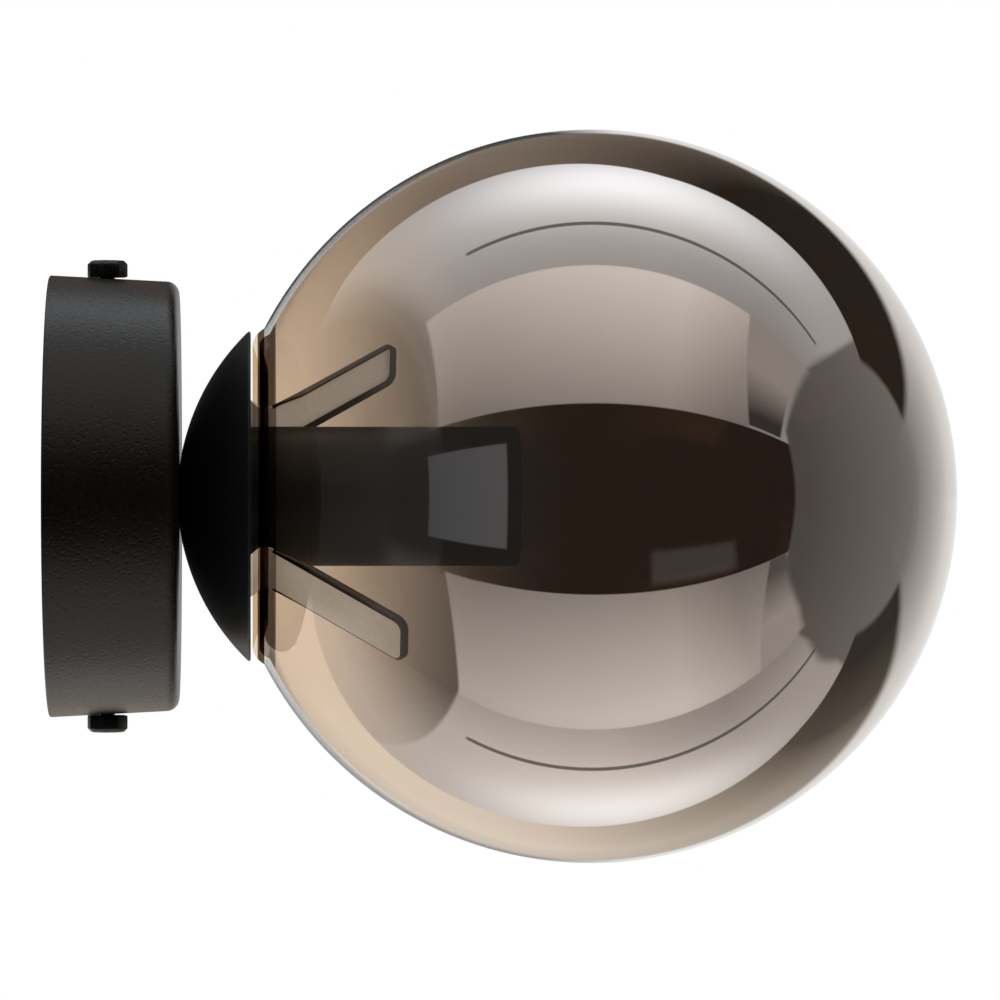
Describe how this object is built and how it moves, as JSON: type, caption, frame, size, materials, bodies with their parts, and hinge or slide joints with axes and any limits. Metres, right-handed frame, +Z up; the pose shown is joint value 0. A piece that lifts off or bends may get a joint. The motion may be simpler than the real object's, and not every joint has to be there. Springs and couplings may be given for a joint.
{
  "type": "globe wall sconce",
  "caption": "Wall sconce with a round black canopy, a shallow dish and a smoked glass ball held on spring clips over a tubular lampholder.",
  "frame": {"origin": "centre of the canopy's wall plane", "axes": "+X out of the wall along the fixture's axis, +Z up, +Y away from the viewer, since the picture is taken from -Y"},
  "size_m": [0.249, 0.2, 0.1999],
  "materials": {
    "textured_black": "fine textured powder coat",
    "satin_black": "smooth satin",
    "holder_black": "satin moulded",
    "zinc_steel": "zinc plated",
    "spring_steel": "pressed strip, bright",
    "brass": "satin",
    "nickel": "satin nickel plate",
    "ceramic": "glazed steatite",
    "block_white": "natural polyamide",
    "insulation_brown": "smooth",
    "insulation_blue": "smooth",
    "insulation_green_yellow": "smooth, striped",
    "smoke_glass": "clear bronze smoke, half mirrored, paler at the neck"
  },
  "bodies": {
    "fixture": {"block_fixing_screw": "zinc_steel", "canopy": "textured_black", "canopy_lock_nut": "zinc_steel", "centre_contact": "brass", "clip_carrier": "zinc_steel", "clip_clamp_plates": "zinc_steel", "clip_rivets": "zinc_steel", "contact_base": "ceramic", "contact_screws": "brass", "dish_lock_nut": "zinc_steel", "earth_cup_washer": "brass", "earth_lead": "insulation_green_yellow", "earth_ring_terminal": "zinc_steel", "earth_screw": "brass", "holder_body": "holder_black", "holder_lock_nut": "zinc_steel", "holder_terminal_screws": "zinc_steel", "holder_terminals": "brass", "lampholder_sleeve": "satin_black", "live_lead": "insulation_brown", "neutral_lead": "insulation_blue", "screw_shell": "nickel", "shade_dish": "satin_black", "sleeve_lock_nut": "zinc_steel", "terminal_block": "block_white", "terminal_block_clamps": "brass", "terminal_block_screws": "zinc_steel", "threaded_tube": "zinc_steel", "toothed_washer": "zinc_steel", "tube_end_bushes": "holder_black", "wall_bracket": "zinc_steel"},
    "top_screw": {"side_screw_top": "textured_black"},
    "bottom_screw": {"side_screw_bottom": "textured_black"},
    "upper_clip": {"globe_clip_upper": "spring_steel"},
    "lower_clip": {"globe_clip_lower": "spring_steel"},
    "globe": {"glass_globe": "smoke_glass"}
  },
  "joints": [
    {"name": "globe_pull_off", "type": "slide", "parent": "fixture", "child": "globe", "axis": [1, 0, 0], "range_m": [0, 0.09], "deforming": ["globe_clip_upper", "globe_clip_lower"]},
    {"name": "upper_clip_squeeze", "type": "hinge", "parent": "fixture", "child": "upper_clip", "pos_m": [0.0447, 0.02152, 0.01563], "axis": [0, 0.5878, -0.809], "range_deg": [0, 18], "stiffness_Nm_per_rad": 0.3},
    {"name": "lower_clip_squeeze", "type": "hinge", "parent": "fixture", "child": "lower_clip", "pos_m": [0.0447, -0.02152, -0.01563], "axis": [0, -0.5878, 0.809], "range_deg": [0, 18], "stiffness_Nm_per_rad": 0.3},
    {"name": "side_screw_top_turn", "type": "hinge", "parent": "fixture", "child": "top_screw", "pos_m": [0.0155, 0, 0.06], "axis": [0, 0, 1], "continuous": true},
    {"name": "side_screw_bottom_turn", "type": "hinge", "parent": "fixture", "child": "bottom_screw", "pos_m": [0.0155, 0, -0.06], "axis": [0, 0, -1], "continuous": true}
  ]
}
